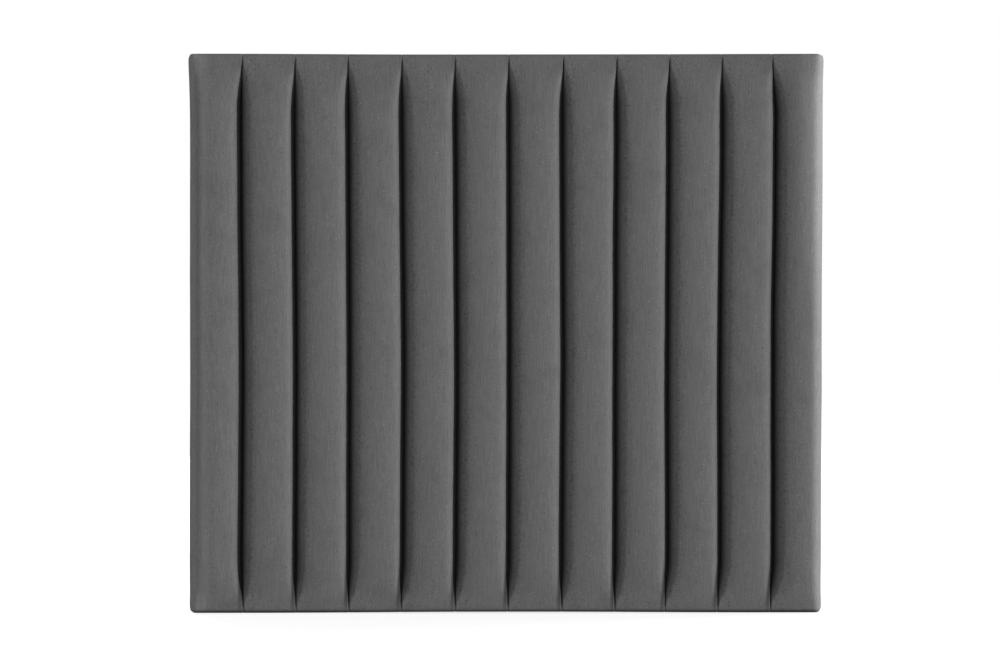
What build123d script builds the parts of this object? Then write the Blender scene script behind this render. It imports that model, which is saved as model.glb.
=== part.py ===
from build123d import *

import math
import os

# Upholstered headboard with upright channels: a softwood frame and a face board carry one foam
# bolster per channel, each wrapped in wadding and in its own strip of velvet. The strips are sewn
# edge to edge, pulled down to the board along the seams and turned in over the back of the frame.
# X runs across, -Y is the front, +Z is up. The origin is under the middle of the bottom edge.
# Lengths are in millimetres.

# Whole headboard
width = 1360.0
height = 1200.0
channel_count = 12
first_channel_width_share = 0.965
last_channel_width_share = 0.86

# Velvet cover strips
cover_thickness = 1.2
cover_edge_radius = 12.0
cover_back_radius = 3.0
cover_corner_radius = 9.0
cover_hem = 60.0
seam_gap = 0.5

# Padded shape of a channel
crown_radius = 180.0
shoulder_reach = 30.0
side_reach = 34.0
side_end_reach = 13.0
side_draw = 3.0
closing_top = 160.0
closing_bottom = 140.0
closing_run_shares = (0.0, 0.08, 0.2, 0.4, 0.7, 1.0)
closing_depth_shares = (0.05, 0.25, 0.5, 0.76, 0.94, 1.0)

# Padding under the cover
wadding_thickness = 5.0
foam_height = 45.0
soft_gap = 0.3

# Face board
board_thickness = 3.0

# Softwood frame
frame_depth = 28.0
stile_width = 58.0
rail_width = 58.0
middle_rail_height = 600.0
fixing_batten_width = 70.0

# Frame screws, two at each lap joint, driven from the back
screw_length = 22.0
screw_shank_radius = 2.0
screw_head_radius = 4.0
screw_head_depth = 2.4
screw_fit = 0.1
screw_spread_share = 0.25

# Threaded inserts for the fixing bolts
insert_spacing_x = 900.0
insert_spacing_z = 200.0
insert_lowest = 180.0
insert_bore_radius = 3.4
insert_body_radius = 6.0
insert_flange_radius = 8.5
insert_flange_thickness = 1.0
insert_length = 20.0
insert_bolt_run = 4.0

# Pull-down strips along the seams
seam_strip_width = 14.0
seam_strip_thickness = 1.5
seam_strip_end_margin = 30.0
seam_staple_spacing = 170.0
seam_staple_offset = 4.3
seam_staple_leg = 3.8

# Dust cover over the back
dust_cover_thickness = 0.4
dust_cover_margin = 15.0
dust_cover_fold = 18.0
dust_cover_hole_radius = 7.5

# Wire staples
staple_crown = 12.8
staple_wire_width = 0.95
staple_wire_thickness = 0.65
staple_leg = 10.0
staple_fit = 0.05
side_staple_spacing = 90.0
hem_staple_inset = 45.0
dust_staple_inset = 31.0
staple_quarter_share = 0.25

# How far a cutting shape runs past what it cuts
overrun = 5.0

# Layers from the front to the back, and the places that follow from them
back_stack = cover_thickness + 2 * staple_wire_thickness + dust_cover_thickness
padding_inset = cover_thickness + soft_gap + wadding_thickness + soft_gap
depth = padding_inset + foam_height + board_thickness + frame_depth + back_stack
inner_channels = channel_count - 2
channel_width = width / (inner_channels + first_channel_width_share + last_channel_width_share)
apex_y = -depth / 2
board_front = apex_y + padding_inset + foam_height
frame_front = board_front + board_thickness
frame_middle = frame_front + frame_depth / 2
frame_back = frame_front + frame_depth
cover_back = frame_back + cover_thickness
dust_cover_front = cover_back + staple_wire_thickness
dust_cover_back = dust_cover_front + dust_cover_thickness
core_half_width = width / 2 - side_draw - padding_inset
core_bottom = padding_inset
core_top = height - padding_inset
middle_rail_bottom = middle_rail_height - rail_width / 2
middle_rail_top = middle_rail_height + rail_width / 2
first_seam = channel_width * first_channel_width_share - width / 2
seam_places = [first_seam + channel_width * seam for seam in range(channel_count - 1)]
channel_sides = list(zip([-width / 2] + seam_places, seam_places + [width / 2]))
insert_places = [
    (side * insert_spacing_x / 2, insert_lowest + row * insert_spacing_z)
    for side in (-1, 1)
    for row in (0, 1)
]


def block(x_low, x_high, y_low, y_high, z_low, z_high):
    """A box between two opposite corners."""
    size = (x_high - x_low, y_high - y_low, z_high - z_low)
    middle = ((x_low + x_high) / 2, (y_low + y_high) / 2, (z_low + z_high) / 2)
    return Pos(*middle) * Box(*size)


def shoulder(edge_x, side, reach, depth_share, centre_x, round_radius, inset):
    """Points at the crown end, the middle and the side end of a channel's rounded shoulder."""
    crown_centre = Vector(centre_x, apex_y + round_radius)
    across = edge_x - side * reach - centre_x
    crown_end = Vector(centre_x + across, crown_centre.Y - math.sqrt(round_radius**2 - across**2))
    inward = (crown_centre - crown_end).normalized()
    full_radius = reach / (1 + side * inward.X)
    full_depth = crown_end.Y + inward.Y * full_radius - apex_y
    drop = Vector(edge_x, apex_y + depth_share * full_depth) - crown_end
    radius = drop.length**2 / (2 * drop.dot(inward))
    centre = crown_end + inward * radius
    side_x = edge_x - side * inset
    rise = math.sqrt(max(0, (radius - inset) ** 2 - (side_x - centre.X) ** 2))
    start = crown_end + inward * inset
    end = Vector(side_x, centre.Y - rise)
    halfway = ((start - centre).normalized() + (end - centre).normalized()).normalized()
    return start, centre + halfway * (radius - inset), end


def channel_section(z, depth_share, left, right, left_outer, right_outer, inset, straight):
    """Outline of one channel at a height, from side to side over the crown and closed at the back."""
    round_radius = crown_radius / depth_share
    outer_reach = side_end_reach + (side_reach - side_end_reach) * depth_share
    drawn = side_draw if straight else side_draw * depth_share**2
    left_edge = left + drawn if left_outer else left + seam_gap / 2
    right_edge = right - drawn if right_outer else right - seam_gap / 2
    left_shape = (outer_reach, 1) if left_outer else (shoulder_reach, depth_share)
    right_shape = (outer_reach, 1) if right_outer else (shoulder_reach, depth_share)
    middle = (left + right) / 2
    left_points = shoulder(left_edge, -1, *left_shape, middle, round_radius, inset)
    right_points = shoulder(right_edge, 1, *right_shape, middle, round_radius, inset)
    crown = Vector(middle, apex_y + inset)
    back = cover_back - inset
    left_foot = Vector(left_points[2].X, back)
    right_foot = Vector(right_points[2].X, back)
    edges = [
        Line(left_foot, left_points[2]),
        ThreePointArc(left_points[2], left_points[1], left_points[0]),
        ThreePointArc(left_points[0], crown, right_points[0]),
        ThreePointArc(right_points[0], right_points[1], right_points[2]),
        Line(right_points[2], right_foot),
        Line(right_foot, left_foot),
    ]
    return Pos(0, 0, z) * Wire(edges)


def closing_levels():
    """Heights of the channel's sections with the share of its full depth that each seam has there."""
    steps = list(zip(closing_run_shares, closing_depth_shares))
    low = [(run * closing_bottom, share) for run, share in steps]
    high = [(height - run * closing_top, share) for run, share in reversed(steps)]
    return [(-overrun, low[0][1])] + low + high + [(height + overrun, high[-1][1])]


def end_profile(inset):
    """The whole depth and height seen from the side, with its rounded edges, as a bar across."""
    front = apex_y + inset - cover_thickness / 2
    back = cover_back - inset
    outline = Polyline(
        (front, inset), (back, inset), (back, height - inset), (front, height - inset), close=True
    )
    face = make_face(outline)
    front_corners = face.vertices().sort_by(Axis.X)[:2]
    face = fillet(front_corners, cover_edge_radius - inset)
    if inset < cover_back_radius:
        face = fillet(face.vertices().sort_by(Axis.X)[-2:], cover_back_radius - inset)
    return extrude(Plane.YZ * face, width, both=True)


def front_profile(inset):
    """The whole width and height seen from the front, with its rounded corners, as a deep block."""
    size = (width - 2 * inset, height - 2 * inset)
    face = RectangleRounded(*size, cover_corner_radius - inset)
    return Pos(0, 0, height / 2) * extrude(Plane.XZ * face, depth, both=True)


def channel_form(left, right, left_outer, right_outer, inset, straight=False):
    """One channel's full form, this far inside the surface of the velvet, or with straight sides."""
    sections = [
        channel_section(z, share, left, right, left_outer, right_outer, inset, straight)
        for z, share in closing_levels()
    ]
    form = Solid.make_loft(sections, ruled=True) & end_profile(inset)
    if left_outer or right_outer:
        form = form & front_profile(inset)
    return form


def frame_space(left, right, left_outer, right_outer, inset, back):
    """The space behind the padding, open to the channels beside this one."""
    x_low = left + side_draw + inset if left_outer else left - overrun
    x_high = right - side_draw - inset if right_outer else right + overrun
    return block(x_low, x_high, board_front, back, inset, height - inset)


def seam_notches(left, right, left_outer, right_outer, half_width, notch_depth):
    """Room on the face board for the pull-down strips at the sides of a channel."""
    low = core_bottom + seam_strip_end_margin
    high = core_top - seam_strip_end_margin
    places = [x for x, outer in ((left, left_outer), (right, right_outer)) if not outer]
    return [
        block(x - half_width, x + half_width, board_front - notch_depth, board_front + overrun, low, high)
        for x in places
    ]


def staple(x, z, upright, surface, leg, fit=0):
    """A wire staple whose crown lies on a surface that faces the back, with its legs into it."""
    half = staple_crown / 2 + fit
    wire = staple_wire_width / 2 + fit
    leg_inner = staple_crown / 2 - staple_wire_thickness - fit
    crown = block(-half, half, surface - fit, surface + staple_wire_thickness + fit, -wire, wire)
    legs = [
        block(
            min(side * leg_inner, side * half),
            max(side * leg_inner, side * half),
            surface - leg - fit,
            surface + fit,
            -wire,
            wire,
        )
        for side in (-1, 1)
    ]
    turn = Rot(0, 90, 0) if upright else Rot(0, 0, 0)
    return Pos(x, 0, z) * turn * (crown + legs)


def edge_staple_places(inset):
    """Places of the staples round the back, this far in from the edges, and whether each is upright."""
    row_end = width / 2 - inset - staple_crown
    shares = (staple_quarter_share, 1 - staple_quarter_share)
    row = [left + (right - left) * share for left, right in channel_sides for share in shares]
    rows = [(x, z, False) for z in (inset, height - inset) for x in row if abs(x) < row_end]
    run = height - 4 * inset
    count = max(2, int(run / side_staple_spacing) + 1)
    columns = [
        (side * (width / 2 - inset), 2 * inset + run * step / (count - 1), True)
        for side in (-1, 1)
        for step in range(count)
    ]
    return rows + columns


def back_staples(inset, surface, fit=0):
    """All the staples of one kind round the back, as separate solids."""
    places = edge_staple_places(inset)
    return [staple(x, z, upright, surface, staple_leg, fit) for x, z, upright in places]


def near(pieces, x_low, x_high, z_low=0, z_high=height):
    """Those pieces that reach into a part of the width and height."""
    found = []
    for piece in pieces:
        bounds = piece.bounding_box()
        across = bounds.max.X > x_low and bounds.min.X < x_high
        if across and bounds.max.Z > z_low and bounds.min.Z < z_high:
            found.append(piece)
    return found


def cover_strip(left, right, left_outer, right_outer):
    """Velvet over one channel, down both seams, round the top and bottom and in over the back."""
    sides = (left, right, left_outer, right_outer)
    shell = channel_form(*sides, 0) - channel_form(*sides, cover_thickness)
    shell -= frame_space(*sides, cover_thickness, frame_back)
    x_low = left + cover_hem if left_outer else left - overrun
    x_high = right - cover_hem if right_outer else right + overrun
    shell -= block(
        x_low, x_high, frame_back - overrun, cover_back + overrun, cover_hem, height - cover_hem
    )
    shell -= seam_notches(*sides, seam_strip_width / 2, seam_strip_thickness)
    pockets = near(staple_pockets, left, right)
    return shell - pockets


def wadding(left, right, left_outer, right_outer):
    """Wadding round one bolster and over the edges of the frame."""
    sides = (left, right, left_outer, right_outer)
    outer = cover_thickness + soft_gap
    inner = outer + wadding_thickness
    layer = channel_form(*sides, outer) - channel_form(*sides, inner, straight=True)
    layer -= frame_space(*sides, inner, cover_back + overrun)
    half_width = seam_strip_width / 2 + soft_gap
    notch = seam_strip_thickness + staple_wire_thickness + soft_gap
    return layer - seam_notches(*sides, half_width, notch)


def foam_bolster(left, right, left_outer, right_outer):
    """Foam core of one channel, glued to the face board."""
    sides = (left, right, left_outer, right_outer)
    form = channel_form(*sides, padding_inset, straight=True)
    form -= block(
        left - overrun, right + overrun, board_front, cover_back + overrun, -overrun, height + overrun
    )
    half_width = seam_strip_width / 2 + soft_gap
    notch = seam_strip_thickness + staple_wire_thickness + soft_gap
    return form - seam_notches(*sides, half_width, notch)


def channel_set(make):
    """The piece that make() gives for every channel: the left end, the alike inner ones, the right end."""
    left_end = make(*channel_sides[0], True, False)
    inner = make(*channel_sides[1], False, False)
    inner_set = [Pos(channel_width * step, 0, 0) * inner for step in range(inner_channels)]
    return [left_end] + inner_set + [make(*channel_sides[-1], False, True)]


def face_board():
    """Thin board over the front of the frame that carries the foam."""
    board = block(
        -core_half_width, core_half_width, board_front, frame_front, core_bottom, core_top
    )
    return board - seam_staples(staple_fit)


def seam_staple_places():
    """Places of the upright staples that hold the pull-down strips, on alternate sides of each seam."""
    low = core_bottom + seam_strip_end_margin
    run = core_top - seam_strip_end_margin - low - seam_staple_spacing
    count = int(run / seam_staple_spacing) + 1
    return [
        (x + seam_staple_offset * (-1) ** step, low + seam_staple_spacing / 2 + run * step / (count - 1))
        for x in seam_places
        for step in range(count)
    ]


def seam_staples(fit=0):
    """Staples that hold the pull-down strips to the board, with their crowns to the front."""
    surface = -(board_front - seam_strip_thickness)
    one = Rot(0, 0, 180) * staple(0, 0, True, surface, seam_staple_leg, fit)
    return [Pos(x, 0, z) * one for x, z in seam_staple_places()]


def seam_strips():
    """Stiff strips that hold each sewn seam down on the board."""
    half = seam_strip_width / 2
    strips = [
        block(
            x - half,
            x + half,
            board_front - seam_strip_thickness,
            board_front,
            core_bottom + seam_strip_end_margin,
            core_top - seam_strip_end_margin,
        )
        for x in seam_places
    ]
    cuts = seam_staples(staple_fit)
    return [strip - near(cuts, *x_range(strip)) for strip in strips]


def x_range(piece):
    """The lowest and highest X of a piece."""
    bounds = piece.bounding_box()
    return bounds.min.X, bounds.max.X


def lap_places():
    """Middle, width and height of each halved joint in the frame."""
    stile_x = core_half_width - stile_width / 2
    batten_x = insert_spacing_x / 2
    heights = {
        "bottom": core_bottom + rail_width / 2,
        "middle": middle_rail_height,
        "top": core_top - rail_width / 2,
    }
    laps = [(side * stile_x, z, stile_width) for side in (-1, 1) for z in heights.values()]
    laps += [
        (side * batten_x, heights[rail], fixing_batten_width)
        for side in (-1, 1)
        for rail in ("bottom", "middle")
    ]
    return laps


def frame_screws(fit=0):
    """Countersunk screws, two across each lap, with their heads flush in the back of the frame."""
    screws = []
    head = Rot(-90, 0, 0) * Cone(
        screw_shank_radius + fit, screw_head_radius + fit, screw_head_depth
    )
    shank = Rot(-90, 0, 0) * Cylinder(screw_shank_radius + fit, screw_length + fit)
    shank_y = frame_back - screw_length / 2
    head_y = frame_back - screw_head_depth / 2
    one = Pos(0, head_y, 0) * head + Pos(0, shank_y - fit / 2, 0) * shank
    for x, z, lap_width in lap_places():
        for side in (-1, 1):
            offset = (side * screw_spread_share * lap_width, side * screw_spread_share * rail_width)
            screws.append(Pos(x + offset[0], 0, z - offset[1]) * one)
    return screws


def rail(z_low, z_high, crossing_battens):
    """A rail across the frame, halved at the back where the uprights cross it."""
    piece = block(-core_half_width, core_half_width, frame_front, frame_back, z_low, z_high)
    stile_inner = core_half_width - stile_width
    halvings = [
        block(-core_half_width, -stile_inner, frame_middle, frame_back, z_low, z_high),
        block(stile_inner, core_half_width, frame_middle, frame_back, z_low, z_high),
    ]
    if crossing_battens:
        half = fixing_batten_width / 2
        halvings += [
            block(x - half, x + half, frame_middle, frame_back, z_low, z_high)
            for x in (-insert_spacing_x / 2, insert_spacing_x / 2)
        ]
    cuts = near(screw_pockets + staple_pockets, -width, width, z_low, z_high)
    return piece - halvings - cuts


def upright(x_low, x_high, z_high, rail_spans):
    """A stile or fixing batten, halved at the front where the rails cross it."""
    piece = block(x_low, x_high, frame_front, frame_back, core_bottom, z_high)
    halvings = [block(x_low, x_high, frame_front, frame_middle, low, high) for low, high in rail_spans]
    cuts = near(screw_pockets + staple_pockets, x_low, x_high, core_bottom, z_high)
    return piece - halvings - cuts


def insert_axis(piece):
    """Turns a piece along Z so that its top faces the back."""
    return Rot(-90, 0, 0) * piece


def insert_nut(x, z):
    """A flanged threaded insert, driven into a fixing batten from the back."""
    body = Pos(0, 0, -insert_length / 2) * Cylinder(insert_body_radius, insert_length)
    flange = Pos(0, 0, insert_flange_thickness / 2) * Cylinder(
        insert_flange_radius, insert_flange_thickness
    )
    bore = Cylinder(insert_bore_radius, 2 * (insert_length + overrun))
    return Pos(x, frame_back, z) * insert_axis(body + flange - bore)


def insert_hole(x, z):
    """The blind hole for an insert and for the end of its bolt."""
    hole_depth = insert_length + insert_bolt_run
    hole = Cylinder(insert_body_radius, hole_depth + overrun)
    return Pos(x, frame_back - (hole_depth - overrun) / 2, z) * insert_axis(hole)


def fixing_batten(side, rail_spans):
    """An upright batten that carries two of the threaded inserts."""
    x = side * insert_spacing_x / 2
    half = fixing_batten_width / 2
    piece = upright(x - half, x + half, middle_rail_top, rail_spans[:2])
    return piece - [insert_hole(*place) for place in insert_places if place[0] * side > 0]


def dust_cover():
    """Thin cloth over the back with its edge folded under and holes at the inserts."""
    half = width / 2 - dust_cover_margin
    low = dust_cover_margin
    high = height - dust_cover_margin
    sheet = block(-half, half, dust_cover_front, dust_cover_back, low, high)
    under = dust_cover_front - dust_cover_thickness
    inner = half - dust_cover_fold
    fold = block(-half, half, under, dust_cover_front, low, high) - block(
        -inner,
        inner,
        under - overrun,
        dust_cover_front + overrun,
        low + dust_cover_fold,
        high - dust_cover_fold,
    )
    holes = [
        Pos(x, dust_cover_front, z) * insert_axis(Cylinder(dust_cover_hole_radius, 2 * overrun))
        for x, z in insert_places
    ]
    return sheet + fold - holes - dust_pockets


def write(name, piece):
    """One file for each node. Several solids under one name stay separate."""
    if isinstance(piece, list):
        piece = Compound(children=[solid for item in piece for solid in item.solids()])
    export_step(piece, f"parts/{name}.step")


os.makedirs("parts", exist_ok=True)
screw_pockets = frame_screws(screw_fit)
dust_pockets = back_staples(dust_staple_inset, dust_cover_back, staple_fit)
staple_pockets = back_staples(hem_staple_inset, cover_back, staple_fit) + dust_pockets
rail_spans = [
    (core_bottom, core_bottom + rail_width),
    (middle_rail_bottom, middle_rail_top),
    (core_top - rail_width, core_top),
]

for name, make in (
    ("cover_strip", cover_strip),
    ("wadding", wadding),
    ("foam_bolster", foam_bolster),
):
    for number, piece in enumerate(channel_set(make), start=1):
        write(f"{name}_{number:02d}", piece)

write("face_board", face_board())
write("seam_strips", seam_strips())
write("seam_staples", seam_staples())
write("frame_rail_bottom", rail(*rail_spans[0], True))
write("frame_rail_middle", rail(*rail_spans[1], True))
write("frame_rail_top", rail(*rail_spans[2], False))
stile_inner = core_half_width - stile_width
write("frame_stile_left", upright(-core_half_width, -stile_inner, core_top, rail_spans))
write("frame_stile_right", upright(stile_inner, core_half_width, core_top, rail_spans))
write("fixing_batten_left", fixing_batten(-1, rail_spans))
write("fixing_batten_right", fixing_batten(1, rail_spans))
write("frame_screws", frame_screws())
write("insert_nuts", [insert_nut(*place) for place in insert_places])
write("hem_staples", back_staples(hem_staple_inset, cover_back))
write("dust_cover", dust_cover())
write("dust_cover_staples", back_staples(dust_staple_inset, dust_cover_back))
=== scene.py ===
import math

import bpy
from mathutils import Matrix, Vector, noise


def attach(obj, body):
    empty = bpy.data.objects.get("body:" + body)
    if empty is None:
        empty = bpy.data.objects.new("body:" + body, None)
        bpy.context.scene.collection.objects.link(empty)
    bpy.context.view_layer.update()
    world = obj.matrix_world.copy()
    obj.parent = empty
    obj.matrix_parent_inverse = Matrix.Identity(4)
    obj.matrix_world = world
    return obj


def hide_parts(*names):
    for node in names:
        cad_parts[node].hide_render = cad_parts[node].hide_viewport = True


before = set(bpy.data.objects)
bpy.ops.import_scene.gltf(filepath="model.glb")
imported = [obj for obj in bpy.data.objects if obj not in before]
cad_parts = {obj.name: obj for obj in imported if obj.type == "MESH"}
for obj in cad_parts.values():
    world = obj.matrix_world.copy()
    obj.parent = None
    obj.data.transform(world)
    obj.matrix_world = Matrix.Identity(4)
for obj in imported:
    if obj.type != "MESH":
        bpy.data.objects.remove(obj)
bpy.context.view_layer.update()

# Softwood frame: two stiles, three rails and two fixing battens of planed pine, halved into each other,
# glued and screwed. The grain runs along each member, with pale early wood and darker late wood.


def add_node(tree, kind, values=(), **settings):
    """A shader node with its settings, each socket set to a value or linked to another node."""
    made = tree.nodes.new(kind)
    for name, value in settings.items():
        setattr(made, name, value)
    for socket, value in dict(values).items():
        if isinstance(value, bpy.types.NodeSocket):
            tree.links.new(value, made.inputs[socket])
        else:
            made.inputs[socket].default_value = value
    return made


def calculate(tree, operation, *values):
    return add_node(tree, "ShaderNodeMath", enumerate(values), operation=operation).outputs[0]


def grade(tree, value, low, high, to_low=0.0, to_high=1.0, curve="LINEAR"):
    """Takes a value from the range low to high over to another range, and keeps it inside that."""
    values = {"Value": value, "From Min": low, "From Max": high, "To Min": to_low, "To Max": to_high}
    return add_node(tree, "ShaderNodeMapRange", values, interpolation_type=curve).outputs[0]


def cloud(tree, place, scale, detail=2.0, roughness=0.5, distortion=0.0):
    """An uneven pattern of patches, as a share between 0 and 1."""
    values = {"Vector": place, "Scale": scale, "Detail": detail}
    values.update({"Roughness": roughness, "Distortion": distortion})
    return add_node(tree, "ShaderNodeTexNoise", values).outputs["Fac"]


def mix_colours(tree, share, first, second, blend="MIX"):
    values = {"Factor": share, 6: first, 7: second}
    return add_node(tree, "ShaderNodeMix", values, data_type="RGBA", blend_type=blend).outputs[2]


def lay_pattern(tree, place, scale=(1, 1, 1), turn=(0, 0, 0), shift=(0, 0, 0)):
    """Stretches, turns and shifts the place that a pattern reads."""
    values = {"Vector": place, "Scale": scale, "Rotation": turn, "Location": shift}
    return add_node(tree, "ShaderNodeMapping", values).outputs[0]


def new_pattern(name, inputs, outputs):
    tree = bpy.data.node_groups.new(name, "ShaderNodeTree")
    for socket, kind, value in inputs:
        made = tree.interface.new_socket(socket, in_out="INPUT", socket_type=kind)
        if value is not None:
            made.default_value = value
    for socket, kind in outputs:
        tree.interface.new_socket(socket, in_out="OUTPUT", socket_type=kind)
    given = tree.nodes.new("NodeGroupInput")
    result = tree.nodes.new("NodeGroupOutput")
    return tree, given.outputs, result.inputs


def place_pattern(tree, group, values):
    return add_node(tree, "ShaderNodeGroup", values, node_tree=group).outputs


def new_finish(name, roughness, specular=0.5, metallic=0.0):
    finish = bpy.data.materials.new(name)
    finish.use_nodes = True
    tree = finish.node_tree
    shader = tree.nodes["Principled BSDF"]
    shader.inputs["Roughness"].default_value = roughness
    shader.inputs["Specular IOR Level"].default_value = specular
    shader.inputs["Metallic"].default_value = metallic
    place = add_node(tree, "ShaderNodeTexCoord").outputs["Object"]
    return finish, tree, shader, place


def add_relief(tree, shader, height, strength, distance):
    values = {"Strength": strength, "Distance": distance, "Height": height}
    bump = add_node(tree, "ShaderNodeBump", values)
    tree.links.new(bump.outputs["Normal"], shader.inputs["Normal"])


def give_finish(names, finish):
    for name in names:
        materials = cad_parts[name].data.materials
        materials.clear()
        materials.append(finish)


wood_grain, given, result = new_pattern(
    "wood_grain",
    [
        ("Place", "NodeSocketVector", None),
        ("Pale", "NodeSocketColor", (0.7, 0.5, 0.3, 1)),
        ("Dark", "NodeSocketColor", (0.4, 0.25, 0.12, 1)),
        ("Ring Count", "NodeSocketFloat", 26.0),
    ],
    [("Color", "NodeSocketColor"), ("Roughness", "NodeSocketFloat"), ("Height", "NodeSocketFloat")],
)
bend = cloud(wood_grain, lay_pattern(wood_grain, given["Place"], (0.9, 9.0, 9.0)), 1.4, 3.0)
late_wood = calculate(wood_grain, "FRACT", calculate(wood_grain, "MULTIPLY", bend, given["Ring Count"]))
fibres = cloud(wood_grain, lay_pattern(wood_grain, given["Place"], (14.0, 620.0, 620.0)), 1.0, 3.0)
depth = calculate(wood_grain, "POWER", late_wood, 2.6)
shade = calculate(wood_grain, "MULTIPLY_ADD", fibres, 0.5, depth)
shade_kept = grade(wood_grain, shade, 0.15, 1.35, 0.0, 0.85)
tint = mix_colours(wood_grain, shade_kept, given["Pale"], given["Dark"])
wood_grain.links.new(tint, result["Color"])
wood_grain.links.new(grade(wood_grain, fibres, 0.0, 1.0, 0.48, 0.72), result["Roughness"])
wood_grain.links.new(shade, result["Height"])


def softwood(name, turn, shift):
    finish, tree, shader, place = new_finish(name, 0.6, 0.35)
    grain = place_pattern(
        tree, wood_grain,
        {
            "Place": lay_pattern(tree, place, turn=turn, shift=shift),
            "Pale": (0.72, 0.55, 0.34, 1),
            "Dark": (0.46, 0.29, 0.14, 1),
            "Ring Count": 24.0,
        },
    )
    tree.links.new(grain["Color"], shader.inputs["Base Color"])
    tree.links.new(grain["Roughness"], shader.inputs["Roughness"])
    add_relief(tree, shader, grain["Height"], 0.3, 0.0004)
    return finish


upright = (0, math.pi / 2, 0)
rail_wood = softwood("softwood_rails", (0, 0, 0), (0, 0, 0))
stile_wood = softwood("softwood_stiles", upright, (0.3, 0.2, 0.1))
batten_wood = softwood("softwood_battens", upright, (0.9, 0.6, 0.4))
give_finish(["frame_rail_bottom", "frame_rail_middle", "frame_rail_top"], rail_wood)
give_finish(["frame_stile_left", "frame_stile_right"], stile_wood)
give_finish(["fixing_batten_left", "fixing_batten_right"], batten_wood)

# Face board: one sheet of 3 mm hardboard, pressed from brown wood fibre, glued over the front of the
# frame. It is smooth, with fine pale fibres lying every way in it.
loose_fibres, given, result = new_pattern(
    "loose_fibres",
    [
        ("Place", "NodeSocketVector", None),
        ("Pale", "NodeSocketColor", (0.8, 0.8, 0.8, 1)),
        ("Dark", "NodeSocketColor", (0.2, 0.2, 0.2, 1)),
        ("Fibre Count", "NodeSocketFloat", 300.0),
    ],
    [("Color", "NodeSocketColor"), ("Height", "NodeSocketFloat")],
)
strands = cloud(loose_fibres, given["Place"], given["Fibre Count"], 4.0, 0.65, 2.4)
off_middle = calculate(loose_fibres, "SUBTRACT", strands, 0.5)
ridge = grade(loose_fibres, calculate(loose_fibres, "ABSOLUTE", off_middle), 0.0, 0.16, 1.0, 0.0)
tint = mix_colours(loose_fibres, ridge, given["Dark"], given["Pale"])
loose_fibres.links.new(tint, result["Color"])
loose_fibres.links.new(ridge, result["Height"])


def fibre_finish(name, pale, dark, fibre_count, roughness, relief):
    finish, tree, shader, place = new_finish(name, roughness, 0.3)
    fibres = place_pattern(
        tree, loose_fibres,
        {"Place": place, "Pale": (*pale, 1), "Dark": (*dark, 1), "Fibre Count": fibre_count},
    )
    tree.links.new(fibres["Color"], shader.inputs["Base Color"])
    add_relief(tree, shader, fibres["Height"], 0.5, relief)
    return finish


hardboard = fibre_finish("hardboard", (0.47, 0.33, 0.21), (0.37, 0.245, 0.15), 420.0, 0.52, 0.0001)
give_finish(["face_board"], hardboard)

# Frame screws: countersunk steel screws plated yellow, two across each halved joint, driven from the
# back with their heads flush. The plating is worn to grey in patches.
worn_plating, given, result = new_pattern(
    "worn_plating",
    [
        ("Place", "NodeSocketVector", None),
        ("Bright", "NodeSocketColor", (0.7, 0.7, 0.7, 1)),
        ("Dull", "NodeSocketColor", (0.4, 0.4, 0.4, 1)),
        ("Patch Count", "NodeSocketFloat", 240.0),
    ],
    [("Color", "NodeSocketColor"), ("Roughness", "NodeSocketFloat"), ("Height", "NodeSocketFloat")],
)
patches = cloud(worn_plating, given["Place"], given["Patch Count"], 4.0, 0.7)
tint = mix_colours(worn_plating, patches, given["Dull"], given["Bright"])
worn_plating.links.new(tint, result["Color"])
worn_plating.links.new(grade(worn_plating, patches, 0.0, 1.0, 0.5, 0.2), result["Roughness"])
worn_plating.links.new(patches, result["Height"])


def plated_steel(name, bright, dull, patch_count, thread_pitch=0.0):
    """Plated steel with a worn surface, or with a screw thread's relief along its depth."""
    finish, tree, shader, place = new_finish(name, 0.35, 0.5, 1.0)
    plating = place_pattern(
        tree, worn_plating,
        {"Place": place, "Bright": (*bright, 1), "Dull": (*dull, 1), "Patch Count": patch_count},
    )
    tree.links.new(plating["Color"], shader.inputs["Base Color"])
    tree.links.new(plating["Roughness"], shader.inputs["Roughness"])
    if not thread_pitch:
        add_relief(tree, shader, plating["Height"], 0.15, 0.0001)
        return finish
    # The wave pattern has 20 bands to a full turn of its scale
    values = {"Vector": place, "Scale": math.tau / (20 * thread_pitch), "Distortion": 0.0}
    thread = add_node(tree, "ShaderNodeTexWave", values, bands_direction="Y")
    add_relief(tree, shader, thread.outputs["Fac"], 0.6, 0.0005)
    return finish


yellow_plate = plated_steel("yellow_plated_screws", (0.72, 0.62, 0.36), (0.5, 0.44, 0.3), 300.0)
give_finish(["frame_screws"], yellow_plate)

# Threaded inserts: four flanged M8 inserts of bright zinc-plated steel, driven into the battens from the
# back. The bolts that hold the headboard to a bed go into their threads.
m8_pitch = 0.00125
zinc_plate = plated_steel("zinc_plated_inserts", (0.75, 0.76, 0.77), (0.5, 0.5, 0.52), 260.0, m8_pitch)
give_finish(["insert_nuts"], zinc_plate)

# Pull-down strips: stiff strips of pressed fibre along the seams on the face board, each held by upright
# galvanised wire staples. They hold the sewn seams of the cover down in the grooves.
strip_fibre = fibre_finish("pressed_fibre_strip", (0.62, 0.53, 0.41), (0.48, 0.4, 0.3), 340.0, 0.8, 0.0002)
give_finish(["seam_strips"], strip_fibre)
galvanised_wire = plated_steel("galvanised_wire", (0.7, 0.7, 0.71), (0.48, 0.49, 0.5), 380.0)
give_finish(["seam_staples"], galvanised_wire)

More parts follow.
